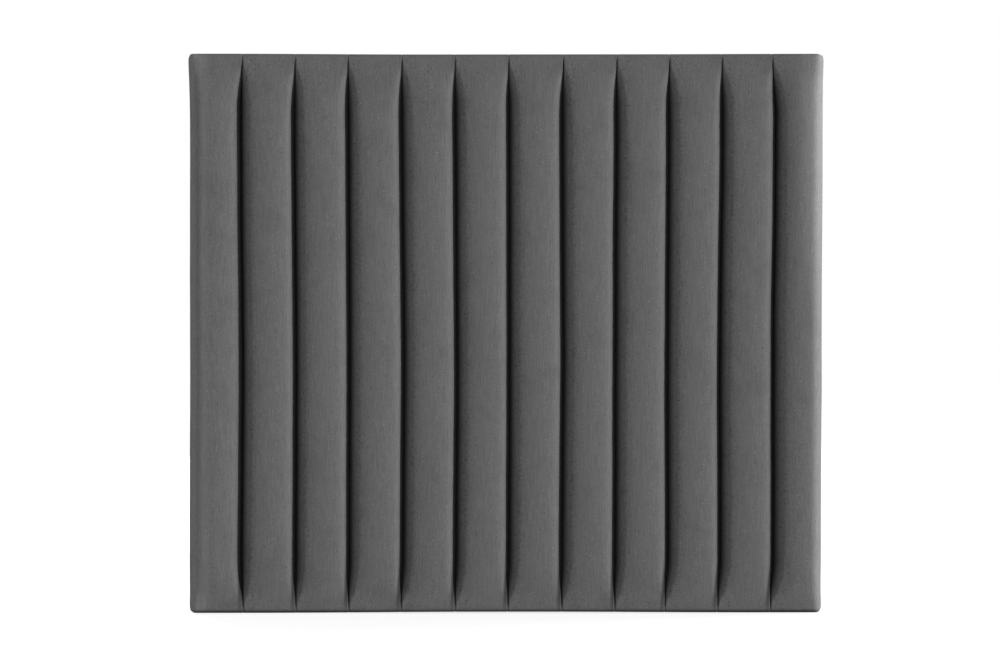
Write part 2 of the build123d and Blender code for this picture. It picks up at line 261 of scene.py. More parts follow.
# Foam bolsters: one block of open-cell foam per channel, glued to the face board. Its front is cut to
# a flat crown and its sides are pressed down where the seams pull the cover to the board.
board_width = 1.360
board_height = 1.200
board_half_width = board_width / 2
front_of_crown = -0.04285
board_front = 0.00895
edge_rounding = 0.012
corner_rounding = 0.012
channel_count = 12
last_channel = channel_count - 1
last_seam = channel_count - 2
# The two end channels are narrower than the others, and these are their shares of a full channel
first_width, last_width = 0.965, 0.860
seam_pitch = board_width / (first_width + channel_count - 2 + last_width)
seam_lines = [seam_pitch * (first_width + number) - board_half_width for number in range(last_channel)]
# Between two seams a channel has a crown, with a shoulder down to the seam on either side
crown_radius = 0.180
crown_steps = 8
seam_reach, least_reach = 0.024, 0.2
shoulder_steps = 7
seam_gap, seam_overlap = 0.00004, 0.00017
groove_bottom = 0.0492
seam_pull, pull_run = 0.6, 0.012
# The outer bends: the left one is shallower, with its crown set further out, and the right one rounder
bend_reach, bend_growth = 0.020, 0.010
bend_pull = 0.2
left_bend_depth = 0.76
left_crown_shift = 0.012
right_crown_bend = 1.7
side_bulge, side_drawn = 0.0004, 0.0008
# Each groove stays closed at the very ends of the board, and opens over a run that varies a little
closed_depth = 0.04
closed_at_top, closed_at_bottom = 0.012, 0.010
closing_at_top, closing_at_bottom = 0.135, 0.125
closing_vary = 0.12
closing_curve, closing_start = 2.5, 0.28
# Each seam, and each outer side before and after them, wanders a little to the side: how far, from the
# bottom to the top, in millimetres
drift_heights = (0.0, 0.12, 0.55, 1.06, 1.20)
seam_drifts = (
    (-1.0, -2.5, 0.5, 2.5, 1.5),
    (4.0, 0.0, 4.5, 2.0, 7.0),
    (2.5, 2.0, 4.5, 2.0, 5.0),
    (1.0, 2.5, 4.5, 3.0, 3.0),
    (-1.5, 3.5, 6.5, 3.0, 3.5),
    (0.0, 2.5, 6.0, 3.0, 1.5),
    (-1.5, 1.5, 3.5, 3.0, 1.5),
    (-0.5, 1.0, 4.0, 2.0, 3.5),
    (-1.5, 0.5, 1.5, 3.5, 2.5),
    (-9.0, -1.0, -2.0, 0.5, 0.5),
    (-10.5, -3.0, -4.5, 1.0, -2.5),
    (-12.5, -4.0, -4.5, 0.0, -10.0),
    (-0.5, 1.5, 2.0, 3.0, 2.0),
)
millimetre = 0.001
seam_wobble = 0.0007


def ease(share):
    """Brings a share gently from 0 to 1, and keeps it between them."""
    share = max(0.0, min(1.0, share))
    return share * share * (3 - 2 * share)


def seam_depth(number, height):
    """How far a groove is open at a height: nearly closed at the ends, then fully drawn in."""
    top_vary = 1 + closing_vary * noise.noise(Vector((number * 3.7, 0.4, 2.1)))
    low_vary = 1 + closing_vary * noise.noise(Vector((number * 5.3, 4.4, 7.1)))
    top_run = (board_height - closed_at_top - height) / (closing_at_top * top_vary)
    low_run = (height - closed_at_bottom) / (closing_at_bottom * low_vary)
    run = max(0.0, min(1.0, top_run, low_run))
    opened = 1 - (1 - run) ** closing_curve
    return closed_depth + (1 - closed_depth) * opened * ease(run / closing_start)


def seam_place(number, height):
    """Where a seam, or the outer side of an end channel, lies across at a height."""
    drifts = seam_drifts[number + 1]
    drift = drifts[-1]
    for step, (low, high) in enumerate(zip(drift_heights, drift_heights[1:])):
        if height < high:
            share = ease((height - low) / (high - low))
            drift = drifts[step] + (drifts[step + 1] - drifts[step]) * share
            break
    if number < 0 or number > last_seam:
        drawn = board_half_width + side_bulge - side_drawn * seam_depth(number, height) ** 2
        return drift * millimetre + (drawn if number > last_seam else -drawn)
    wobble = seam_wobble * noise.noise(Vector((number * 9.1, height * 5.5, 0.0)))
    return seam_lines[number] + drift * millimetre + wobble * seam_depth(number, height)


def shoulder(edge, side, reach, depth_share, middle, radius, pull):
    """Points and outward directions of a rounded shoulder, from its side end to the crown.

    Low down it is pulled in further than its arc, but never past the bottom of the groove.
    """
    across = edge - side * reach - middle
    rise = math.sqrt(radius * radius - across * across)
    crown_end = Vector((middle + across, radius - rise))
    inward = Vector((-across, rise)) / radius
    full_radius = reach / (1 + side * inward.x)
    full_depth = crown_end.y + inward.y * full_radius
    drop = Vector((edge, crown_end.y + depth_share * (full_depth - crown_end.y))) - crown_end
    sunk = max(0.0, min(depth_share * pull, (groove_bottom - crown_end.y) / drop.y - 1))
    arc = drop.length_squared / (2 * drop.dot(inward))
    centre = crown_end + inward * arc
    start = (crown_end + drop - centre).normalized()
    end = -inward
    angle = math.atan2(start.x * end.y - start.y * end.x, start.dot(end))
    points = []
    for step in range(shoulder_steps):
        turn = angle * step / shoulder_steps
        cos, sin = math.cos(turn), math.sin(turn)
        out = Vector((start.x * cos - start.y * sin, start.x * sin + start.y * cos))
        point = centre + out * arc
        below = point.y - crown_end.y
        point.y += sunk * below * ease(below / pull_run)
        points.append((point, out))
    return points


def channel_section(number, height):
    """One channel from side to side at a height: place across, depth behind the crown, and direction."""
    first, last = number == 0, number == last_channel
    left, right = seam_place(number - 1, height), seam_place(number, height)
    left_share = left_bend_depth if first else seam_depth(number - 1, height)
    right_share = 1.0 if last else seam_depth(number, height)
    outer_share = seam_depth(0 if first else last_seam, height)
    outer_reach = bend_reach + bend_growth * outer_share
    crown_share = outer_share if first or last else (left_share + right_share) / 2
    left += 0 if first else seam_gap - seam_overlap * left_share
    right -= 0 if last else seam_gap - seam_overlap * right_share
    radius = crown_radius / (crown_share * (right_crown_bend if last else 1.0))
    middle = (left + right) / 2 - (left_crown_shift * outer_share if first else 0)
    left_reach = outer_reach if first else seam_reach * (least_reach + (1 - least_reach) * left_share)
    right_reach = outer_reach if last else seam_reach * (least_reach + (1 - least_reach) * right_share)
    pulls = [bend_pull * seam_pull if outer else seam_pull for outer in (first, last)]
    points = shoulder(left, -1, left_reach, left_share, middle, radius, pulls[0])
    low, high = left + left_reach - middle, right - right_reach - middle
    for step in range(crown_steps + 1):
        across = low + (high - low) * step / crown_steps
        out = Vector((across, -math.sqrt(radius * radius - across * across))) / radius
        points.append((Vector((middle, radius)) + out * radius, out))
    far_side = shoulder(right, 1, right_reach, right_share, middle, radius, pulls[1])
    return points + far_side[::-1]


def front_rows(end_rows, middle_rows):
    """Heights up the front between the rounded ends, closer together near the ends."""
    low, high = edge_rounding, board_height - edge_rounding
    near_end = 0.150
    rows = [low + near_end * step / end_rows for step in range(end_rows)]
    span = high - low - 2 * near_end
    rows += [low + near_end + span * step / middle_rows for step in range(middle_rows)]
    return rows + [high - near_end + near_end * step / end_rows for step in range(end_rows + 1)]


def fullness(x, height, number, seam_distance, pucker_height):
    """Small unevenness of the padding, with puckers of the cover beside the seams."""
    lump_height, dent_height = 0.0006, 0.0003
    calm_reach, pucker_reach = 0.02, 0.016
    soft = lump_height * noise.noise(Vector((x * 9, number * 3.1, height * 3.3)))
    soft += dent_height * noise.noise(Vector((x * 30, 5.0, height * 13)))
    pull = math.exp(-seam_distance / pucker_reach)
    lean = height * 42 + seam_distance * 60
    pucker = pucker_height * noise.noise(Vector((number * 8.0 + x * 2, 1.7, lean)))
    return soft * min(1.0, seam_distance / calm_reach) + pucker * pull


def nipped_in(number, height, seam_distance):
    """How far the layers are nipped in beside a seam where its groove is nearly closed."""
    least_nip, nip_growth, nip_reach = 0.0004, 0.0042, 0.0028
    nip_start, nip_run = 0.004, 0.020
    from_end = min(height, board_height - height)
    deepest = least_nip + nip_growth * ease((from_end - nip_start) / nip_run)
    left_share = seam_depth(max(0, number - 1), height)
    right_share = seam_depth(min(last_seam, number), height)
    closed_share = 1 - min(1.0, max(left_share, right_share) * 1.2)
    return deepest * max(0.0, 1 - seam_distance / nip_reach) * closed_share


def edge_bow(x, height):
    """The top corners stand a little proud, and the bottom edge lifts in the middle."""
    left_rise, right_rise, middle_lift = 0.0022, 0.0006, 0.0020
    edge_share = 0.1
    upper = left_rise * ease((-x - 0.15) / 0.5) + right_rise * ease((x - 0.3) / 0.38)
    lower = middle_lift * ease(1 - (abs(x) - 0.05) / 0.5)
    share = height / board_height
    near_top = ease((share - (1 - edge_share)) / edge_share)
    near_bottom = ease((edge_share - share) / edge_share)
    return upper * near_top + lower * near_bottom


def round_corner(number, x, z, inset):
    """Turns the square outer corner of an end channel into a round one."""
    if number not in (0, last_channel):
        return x, z
    radius = corner_rounding - inset
    side = -1 if number == 0 else 1
    across = side * x - (board_half_width - inset - radius)
    upper = z > board_height / 2
    up = (z if upper else board_height - z) - (board_height - inset - radius)
    if across > 0 and up > 0:
        scale = max(across, up) / math.hypot(across, up)
        x += side * across * (scale - 1)
        z += (1 if upper else -1) * up * (scale - 1)
    return x, z


def add_flanks(number, row, foot, height, turn):
    """Adds the hidden sides in the grooves, down to the board, shallow near the ends."""
    shallow_depth, deepening = 0.0005, 0.035
    end = min(height, board_height - height)
    reach = ease((end - edge_rounding) / deepening)
    for index, outer_number in ((0, 0), (-1, last_channel)):
        if number == outer_number:
            continue
        top = row[index].copy()
        side = []
        for share in (0.5, 1.0):
            shallow = shallow_depth * share
            deep = (foot - top.y) * share * reach + shallow * (1 - reach)
            down = shallow * math.sin(turn) * (1 if height > board_height / 2 else -1)
            y = top.y + (shallow * math.cos(turn) if turn else deep)
            side.append(Vector((top.x, y, top.z - down)))
        row = side[::-1] + row if index == 0 else row + side
    return row


def channel_front(number, inset, foot, heights, arc_steps=4):
    """Rows of points over one channel's front, from the bottom edge to the top edge.

    Seam sides go down to the foot. Outer sides end where the shoulder meets the side wall.
    """
    far = 9
    above_foot = 0.0002
    pucker_height = 0 if inset else 0.0006
    arc = edge_rounding - inset
    turns = [math.radians(90 - 90 * step / arc_steps) for step in range(arc_steps)]
    rounded = [(turn, edge_rounding - arc * math.sin(turn)) for turn in turns]
    stations = rounded + [(0, height) for height in heights]
    stations += [(turn, board_height - height) for turn, height in rounded[::-1]]
    rows = []
    for turn, height in stations:
        section = channel_section(number, height)
        left, right = section[0][0].x, section[-1][0].x
        middle_step = len(section) // 2
        back = arc * (1 - math.cos(turn))
        row = []
        for step, (point, out) in enumerate(section):
            outer = step < middle_step if number == 0 else number == last_channel and step > middle_step
            from_left = far if number == 0 else point.x - left
            from_right = far if number == last_channel else right - point.x
            distance = min(from_left, from_right)
            swell = 0 if turn else fullness(point.x, height, number, distance, pucker_height)
            x = point.x + out.x * (swell - inset)
            low_limit = -far if number == 0 else left + inset
            high_limit = far if number == last_channel else right - inset
            x = max(low_limit, min(high_limit, x))
            deep = point.y + out.y * (swell - inset)
            nipped = nipped_in(number, height, distance)
            if outer:
                deep = math.hypot(deep - inset, back) + inset
            else:
                deep = min(deep, foot - above_foot - front_of_crown) + back + nipped * math.cos(turn)
            z = height - nipped * math.sin(turn) * (1 if height > board_height / 2 else -1)
            x, z = round_corner(number, x, z, inset)
            row.append(Vector((x, front_of_crown + deep, z)))
        rows.append(add_flanks(number, row, foot, height, turn))
    for row in rows:
        for point in row:
            point.z += edge_bow(point.x, point.z)
    return rows


def grid_faces(row_count, column_count):
    faces = []
    for row in range(row_count - 1):
        for column in range(column_count - 1):
            start = row * column_count + column
            faces.append((start, start + 1, start + column_count + 1, start + column_count))
    return faces


def bolster_form(number):
    """Points and faces of one bolster: its front, and walls and a flat back behind that."""
    rows = channel_front(number, foam_inset, strip_clear, soft_heights, 2)
    columns = len(rows[0])
    points = [point for row in rows for point in row]
    faces = grid_faces(len(rows), columns)
    rim = [(0, column) for column in range(columns)]
    rim += [(row, columns - 1) for row in range(1, len(rows))]
    rim += [(len(rows) - 1, column) for column in range(columns - 2, -1, -1)]
    rim += [(row, 0) for row in range(len(rows) - 2, 0, -1)]
    first = len(points)
    for row, column in rim:
        point = rows[row][column]
        at_seam = (column == 0 and number > 0) or (column == columns - 1 and number < last_channel)
        points.append(Vector((point.x, strip_clear if at_seam else board_front, point.z)))
    count = len(rim)
    for step in range(count):
        after = (step + 1) % count
        here_front = rim[step][0] * columns + rim[step][1]
        after_front = rim[after][0] * columns + rim[after][1]
        faces.append((here_front, first + step, first + after, after_front))
    faces.append(tuple(first + step for step in range(count)))
    return points, faces


def form_mesh(name, points, faces):
    mesh = bpy.data.meshes.new(name)
    mesh.from_pydata([tuple(point) for point in points], [], faces)
    mesh.validate()
    mesh.update()
    piece = bpy.data.objects.new(name, mesh)
    bpy.context.scene.collection.objects.link(piece)
    return piece


def select_only(piece):
    bpy.ops.object.select_all(action="DESELECT")
    piece.select_set(True)
    bpy.context.view_layer.objects.active = piece


def smooth_all(piece, angle=40):
    select_only(piece)
    bpy.ops.object.shade_smooth_by_angle(angle=math.radians(angle))


def face_out(piece):
    select_only(piece)
    bpy.ops.object.mode_set(mode="EDIT")
    bpy.ops.mesh.select_all(action="SELECT")
    bpy.ops.mesh.normals_make_consistent(inside=False)
    bpy.ops.object.mode_set(mode="OBJECT")


foam_inset = 0.0068
strip_clear = 0.0063
soft_heights = front_rows(12, 24)

foam, tree, shader, place = new_finish("open_cell_foam", 0.95, 0.2)
cells = add_node(tree, "ShaderNodeTexVoronoi", {"Vector": place, "Scale": 900.0})
pores = grade(tree, cells.outputs["Distance"], 0.0, 0.7)
cut_marks = cloud(tree, place, 24.0, 3.0, 0.6)
aged = mix_colours(tree, cut_marks, (0.8, 0.74, 0.52, 1), (0.9, 0.86, 0.7, 1))
pored = mix_colours(tree, pores, (0.52, 0.46, 0.3, 1), aged)
tree.links.new(pored, shader.inputs["Base Color"])
add_relief(tree, shader, pores, 0.5, 0.0004)

for number in range(channel_count):
    bolster = form_mesh(f"foam_core_{number + 1:02d}", *bolster_form(number))
    face_out(bolster)
    smooth_all(bolster)
    bolster.data.materials.append(foam)
    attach(bolster, "root")
    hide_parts(f"foam_bolster_{number + 1:02d}")

# Wadding: a soft layer of white polyester fibre round each bolster, down into the seams and back over
# the top, bottom and outer edges of the frame. It is loose laid and held by the cover alone.
wadding_inset = 0.0023
wadding_thickness = 0.0043
back_of_wadding = 0.0394
back_rounding = 0.003


def wrap_paths(number, row_count, column_count):
    """Places in the rows from which a layer runs back over the edges: one list per edge."""
    top = [(row_count - 1, column) for column in range(column_count)]
    bottom = [(0, column) for column in range(column_count)]
    if number == 0:
        side = [(row, 0) for row in range(1, row_count - 1)]
        return [bottom[::-1] + side + top]
    if number == last_channel:
        side = [(row, column_count - 1) for row in range(1, row_count - 1)]
        return [top + side[::-1] + bottom[::-1]]
    return [top, bottom[::-1]]


def hem_point(number, start, drawn, y):
    """A point of the turned-in hem, drawn in from the edge, mitred at the outer corners."""
    x = start.x
    half = board_height / 2
    if number in (0, last_channel):
        across_from = seam_place(0 if number == 0 else last_seam, half)
        span = board_half_width - abs(across_from)
        x = across_from + (x - across_from) * (span - drawn) / span
    return Vector((x, y, half + (start.z - half) * (half - drawn) / half))


hem_shares = (0.12, 0.45, 1.0)


def hem_points(number, start, back, hem):
    """The run of the hem from one place on the edge: round the back edge and in over the frame."""
    run = []
    for angle in (math.pi / 4, math.pi / 2):
        drawn = back_rounding * (1 - math.cos(angle))
        y = back - back_rounding + back_rounding * math.sin(angle)
        run.append(hem_point(number, start, drawn, y))
    for share in hem_shares:
        drawn = back_rounding + (hem - back_rounding) * share
        run.append(hem_point(number, start, drawn, back))
    return run


def wrap_channel(number, inset, foot, heights, back, hem=0.0, arc_steps=4):
    """Points, faces, and counts of rows and columns of one layer over a channel.

    It is the channel's front and the layer's run back over the edges, with a turned-in hem if given.
    """
    rows = channel_front(number, inset, foot, heights, arc_steps)
    columns = len(rows[0])
    points = [point for row in rows for point in row]
    faces = grid_faces(len(rows), columns)
    back_end = back - back_rounding if hem else back
    run_steps = 4
    for path in wrap_paths(number, len(rows), columns):
        first = len(points)
        for row, column in path:
            start = rows[row][column]
            for step in range(1, run_steps + 1):
                y = start.y + (back_end - start.y) * step / run_steps
                points.append(Vector((start.x, y, start.z)))
            if hem:
                points += hem_points(number, start, back, hem)
        depth_count = (len(points) - first) // len(path)
        for step in range(len(path) - 1):
            here = path[step][0] * columns + path[step][1]
            after = path[step + 1][0] * columns + path[step + 1][1]
            for level in range(depth_count):
                here_next = first + step * depth_count + level
                after_next = here_next + depth_count
                faces.append((here, after, after_next, here_next))
                here, after = here_next, after_next
    return points, faces, len(rows), columns


def thicken(piece, thickness):
    wall = piece.modifiers.new("thickness", "SOLIDIFY")
    wall.thickness = thickness
    wall.offset = -1


def apply_all(piece):
    select_only(piece)
    for modifier in list(piece.modifiers):
        bpy.ops.object.modifier_apply(modifier=modifier.name)


wadding_finish = fibre_finish("white_wadding", (0.88, 0.88, 0.86), (0.66, 0.66, 0.65), 260.0, 0.95, 0.0012)
for number in range(channel_count):
    points, faces = wrap_channel(
        number, wadding_inset, strip_clear, soft_heights, back_of_wadding, arc_steps=2
    )[:2]
    layer = form_mesh(f"wadding_layer_{number + 1:02d}", points, faces)
    face_out(layer)
    thicken(layer, wadding_thickness)
    apply_all(layer)
    smooth_all(layer)
    layer.data.materials.append(wadding_finish)
    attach(layer, "root")
    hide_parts(f"wadding_{number + 1:02d}")

# Velvet cover: twelve strips of dark grey short-pile velvet, one to a channel, sewn edge to edge. The
# seams are pulled down to the board, and the ends and outer sides are turned over the edges, stapled.
back_of_cover = 0.04115
cover_foot = 0.0067
cover_thickness = 0.0012
hem_width = 0.060
cover_heights = front_rows(15, 34)
strips = [
    wrap_channel(number, 0.0, cover_foot, cover_heights, back_of_cover, hem_width)
    for number in range(channel_count)
]


def freedom(number, index, row_count, columns):
    """How freely a point of the cover moves, and how far it starts drawn in: two shares up to 1.

    The seams, the rounded ends, the outer sides and the hem are held.
    """
    held_steps, freed_rows, freed_columns = 4, 4, 3
    row, column = divmod(index, columns)
    from_end = min(row, row_count - 1 - row)
    if row >= row_count or from_end <= held_steps:
        return 0.0, 0.0
    from_left = column - (0 if number == 0 else held_steps)
    from_right = columns - 1 - column - (0 if number == last_channel else held_steps)
    from_side = min(from_left, from_right)
    along = ease((from_end - held_steps) / freed_rows)
    return ease(from_side / freed_columns) * along, ease((from_side - held_steps) / freed_columns) * along


def swell_cover():
    """Lets the padding blow the drawn-in cover out against its seams, as cloth, and reads its points."""
    drawn_in = 0.0014
    most_out, most_in, most_aside = 0.0010, 0.0006, 0.0010
    settled = 20
    points, faces, shares = [], [], []
    for number, (strip_points, strip_faces, row_count, columns) in enumerate(strips):
        first = len(points)
        points += strip_points
        faces += [tuple(first + corner for corner in face) for face in strip_faces]
        shares += [freedom(number, index, row_count, columns) for index in range(len(strip_points))]
    cloth = form_mesh("cover_cloth", points, faces)
    face_out(cloth)
    outward = [vertex.normal.copy() for vertex in cloth.data.vertices]
    held = cloth.vertex_groups.new(name="held")
    for vertex, (free, drawn) in zip(cloth.data.vertices, shares):
        vertex.co -= outward[vertex.index] * drawn_in * drawn
        held.add([vertex.index], 1.0 - 0.7 * free, "REPLACE")
    modifier = cloth.modifiers.new("cloth", "CLOTH")
    settings = modifier.settings
    settings.quality = 6
    settings.mass = 0.3
    settings.tension_stiffness = settings.compression_stiffness = 40
    settings.shear_stiffness = 15
    settings.bending_stiffness = 1.5
    settings.use_pressure = True
    settings.uniform_pressure_force = 8
    settings.vertex_group_mass = "held"
    settings.effector_weights.gravity = 0
    modifier.collision_settings.use_collision = False
    modifier.point_cache.frame_start = 1
    modifier.point_cache.frame_end = settled
    for number in range(1, settled + 1):
        bpy.context.scene.frame_set(number)
    select_only(cloth)
    bpy.ops.object.modifier_apply(modifier="cloth")
    swollen = []
    for point, vertex, away, share in zip(points, cloth.data.vertices, outward, shares):
        move = (vertex.co - point) * share[0]
        rise = move.dot(away)
        aside = move - away * rise
        aside = aside.normalized() * min(aside.length, most_aside)
        swollen.append(point + away * max(-most_in, min(rise, most_out)) + aside)
    mesh = cloth.data
    bpy.data.objects.remove(cloth)
    bpy.data.meshes.remove(mesh)
    bpy.context.scene.frame_set(1)
    return swollen


swollen = swell_cover()
first = 0
for number, (points, faces, row_count, columns) in enumerate(strips):
    strips[number] = (swollen[first : first + len(points)], faces, row_count, columns)
    first += len(points)

velvet, tree, shader, place = new_finish("dark_grey_velvet", 1.0, 0.0)
shader.inputs["Sheen Weight"].default_value = 0.06
shader.inputs["Sheen Roughness"].default_value = 0.35
shader.inputs["Sheen Tint"].default_value = (0.9, 0.9, 0.92, 1)
spread = add_node(tree, "ShaderNodeSeparateXYZ", {"Vector": place}).outputs
# The pile is streaked from top to bottom, mottled and faintly bruised, with a few light and dark specks
streaks = cloud(tree, lay_pattern(tree, place, (400.0, 400.0, 26.0)), 1.0, 3.0, 0.6)
mottle = cloud(tree, place, 70.0, 4.0, 0.62)
bruises = cloud(tree, place, 11.0, 4.0, 0.55, 0.8)
specks = cloud(tree, place, 460.0, 0.0)
shades = [
    grade(tree, streaks, 0.3, 0.7, 0.89, 1.11),
    grade(tree, mottle, 0.3, 0.7, 0.97, 1.03),
    grade(tree, bruises, 0.52, 0.72, 1.0, 0.91),
    grade(tree, specks, 0.72, 0.84, 1.0, 1.6),
    grade(tree, specks, 0.29, 0.17, 1.0, 0.55),
]
# Painted highlight lightens the colour round the outer bends, and more towards the top of the right one
outer_bend = grade(tree, calculate(tree, "ABSOLUTE", spread["X"]), 0.655, 0.672, curve="SMOOTHSTEP")
painted_bend_highlight = grade(tree, spread["Y"], 0.005, -0.015, 0.0, 0.42)
painted_right_highlight = grade(tree, spread["X"], 0.615, 0.655, 0.0, 0.34, "SMOOTHSTEP")
near_top = grade(tree, spread["Z"], 0.45, 1.05, curve="SMOOTHSTEP")
shades += [
    calculate(tree, "MULTIPLY_ADD", outer_bend, painted_bend_highlight, 1.0),
    # Painted highlight on the left outer bend
    grade(tree, spread["X"], -0.630, -0.650, 1.0, 1.22, "SMOOTHSTEP"),
    calculate(tree, "MULTIPLY_ADD", painted_right_highlight, near_top, 1.0),
]
# Painted shade of small rumples: small dark marks to the right of each groove
slope = add_node(tree, "ShaderNodeAttribute", attribute_name="right_of_seam").outputs["Fac"]
painted_rumple_shade = grade(tree, cloud(tree, place, 170.0, 3.0, 0.65, 0.6), 0.50, 0.64, 0.0, 0.24)
shades.append(calculate(tree, "SUBTRACT", 1.0, calculate(tree, "MULTIPLY", slope, painted_rumple_shade)))
# Painted shade darkens the colour down in the grooves, more the deeper it lies, and along the seams
painted_seam_shade = add_node(tree, "ShaderNodeAttribute", attribute_name="near_seam").outputs["Fac"]
painted_groove_shade = calculate(tree, "MAXIMUM", grade(tree, spread["Y"], -0.034, -0.006, 0.0, 0.85), painted_seam_shade)
up = calculate(tree, "ABSOLUTE", calculate(tree, "SUBTRACT", spread["Z"], board_height / 2))
off_ends = grade(tree, up, 0.594, 0.599, 1.0, 0.0)
off_sides = calculate(tree, "SUBTRACT", 1.0, outer_bend)
painted_groove_shade = calculate(tree, "MULTIPLY", painted_groove_shade, calculate(tree, "MULTIPLY", off_ends, off_sides))
shades.append(calculate(tree, "SUBTRACT", 1.0, painted_groove_shade))
# Painted shade darkens the colour over the lowest few millimetres of the bottom edge, where it stands on
# the floor
shades.append(grade(tree, spread["Z"], 0.003, 0.009, 0.35, 1.0))
light = shades[0]
for shade in shades[1:]:
    light = calculate(tree, "MULTIPLY", light, shade)
pile_colour = mix_colours(tree, 1.0, (0.121, 0.1208, 0.1206, 1), light, "MULTIPLY")
tree.links.new(pile_colour, shader.inputs["Base Color"])
pile_height = calculate(tree, "MULTIPLY_ADD", streaks, 1.2, cloud(tree, place, 1400.0))
add_relief(tree, shader, pile_height, 0.35, 0.0003)


# Strengths and widths of the painted shade: along the seams, low down left of the right seam, at the top,
# and of the rumples
seam_dark, seam_line = 0.97, 0.0016
seam_start, seam_run = 0.006, 0.019
low_dark, low_reach, low_edge = 0.68, 0.0130, 0.0065
top_dark, top_reach, top_edge, top_start = 0.24, 0.0065, 0.003, 1.145
rumple_reach, rumple_edge, rumple_start = 0.042, 0.022, 0.004


def mark_painted_shade(strip, number):
    """Marks where painted shade goes on a strip, and where the painted shade of small rumples goes.

    Painted shade lies along both seams, and to the left of the right seam, most of all low down and a
    little at the top. The painted shade of rumples lies to the right of the left seam.
    """
    near_seam, right_of_seam = [], []
    for vertex in strip.data.vertices:
        x, _, z = vertex.co
        from_left = x - seam_place(number - 1, z) if number > 0 else 1
        from_right = seam_place(number, z) - x if number < last_channel else 1
        from_end = min(z, board_height - z)
        in_seam = seam_dark * ease(1.25 - min(from_left, from_right) / seam_line)
        in_seam *= ease((from_end - seam_start) / seam_run)
        painted_low_shade = ease((low_reach - from_right) / low_edge) * ease((z + 0.012) / 0.056)
        painted_low_shade *= low_dark - 0.40 * ease((z - 0.070) / 0.060) - 0.28 * ease((z - 0.12) / 0.10)
        painted_top_shade = top_dark * ease((top_reach - from_right) / top_edge) * ease((z - top_start) / 0.020)
        near_seam.append(max(in_seam, painted_low_shade, painted_top_shade))
        rumple_shade_share = ease((rumple_reach - from_left) / rumple_edge) * ease((from_left - rumple_start) / 0.006)
        right_of_seam.append(rumple_shade_share)
    for name, shares in (("near_seam", near_seam), ("right_of_seam", right_of_seam)):
        strip.data.attributes.new(name, "FLOAT", "POINT").data.foreach_set("value", shares)


for number, strip_form in enumerate(strips):
    strip = form_mesh(f"velvet_strip_{number + 1:02d}", *strip_form[:2])
    face_out(strip)
    thicken(strip, cover_thickness)
    round_off = strip.modifiers.new("round", "SUBSURF")
    round_off.levels = round_off.render_levels = 1
    apply_all(strip)
    smooth_all(strip, 60)
    mark_painted_shade(strip, number)
    strip.data.materials.append(velvet)
    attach(strip, "root")
    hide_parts(f"cover_strip_{number + 1:02d}")

# Hem staples: galvanised wire staples through the turned-in hem into the back of the frame, two to a
# channel along the ends and one about every 90 mm up the sides.
give_finish(["hem_staples"], galvanised_wire)

# Dust cover: one sheet of black spun-bonded cloth stretched over the back, with its edges folded under
# and stapled, and a round hole over each threaded insert. It sags a little between the timbers.
sheet_half_width = 0.665
sheet_low, sheet_high = 0.015, 1.185
sheet_back = 0.0422
sheet_thickness = 0.0004
fold_front = 0.0414
fold_under = 0.018
insert_x = 0.450
insert_heights = (0.180, 0.380)
hole_rings = (0.0130, 0.0092, 0.0075)
hem_end = 0.053
staple_line = 0.031
column_counts = (17, 72, 17)
row_counts = (13, 16, 64)
stile_inside = 0.612
batten_inside, batten_outside = 0.415, 0.485
low_bay, high_bay = (0.065, 0.571), (0.629, 1.135)
open_bays = (
    (-stile_inside, -batten_outside, *low_bay),
    (-batten_inside, batten_inside, *low_bay),
    (batten_outside, stile_inside, *low_bay),
    (-stile_inside, stile_inside, *high_bay),
)


def even_places(ends, counts):
    """Places along a line, evenly spread between each pair of ends."""
    places = [ends[0]]
    for low, high, count in zip(ends, ends[1:], counts):
        places += [low + (high - low) * step / count for step in range(1, count + 1)]
    return places


def sheet_point(x, z):
    """A point of the dust cover's outer face: off the hem, on the timbers, slack between them."""
    hem_step, step_run = 0.0019, 0.020
    insert_rise, rise_reach = 0.0014, 0.030
    sag, fold_height, sag_run = 0.0040, 0.0028, 0.11
    puff_height, puff_reach, puff_start = 0.00025, 0.05, 0.008
    from_edge = min(board_half_width - abs(x), z, board_height - z)
    off_hem = ease((from_edge - hem_end) / step_run)
    near_insert = min(math.hypot(abs(x) - insert_x, z - height) for height in insert_heights)
    drop = off_hem * (hem_step - insert_rise * math.exp(-((near_insert / rise_reach) ** 4)))
    slack = 0.0
    for left, right, low, high in open_bays:
        slack = max(slack, ease(min(x - left, right - x, z - low, high - z) / sag_run))
    folds = noise.noise(Vector(((x + z) * 3.0, (x - z) * 14.0, 2.0)))
    folds += 0.6 * noise.noise(Vector(((x - z) * 3.0, (x + z) * 14.0, 9.0)))
    from_staples = abs(from_edge - staple_line)
    puff = puff_height * noise.noise(Vector((x * 22, z * 22, 4.0)))
    puff *= ease((puff_reach - from_staples) / puff_reach) * ease(from_staples / puff_start)
    return Vector((x, sheet_back - drop - slack * (sag + fold_height * folds) + puff, z))


def join_rings(outer, inner):
    """Faces between two closed rings of points of the same count."""
    count = len(outer)
    return [
        (outer[step], outer[(step + 1) % count], inner[(step + 1) % count], inner[step])
        for step in range(count)
    ]


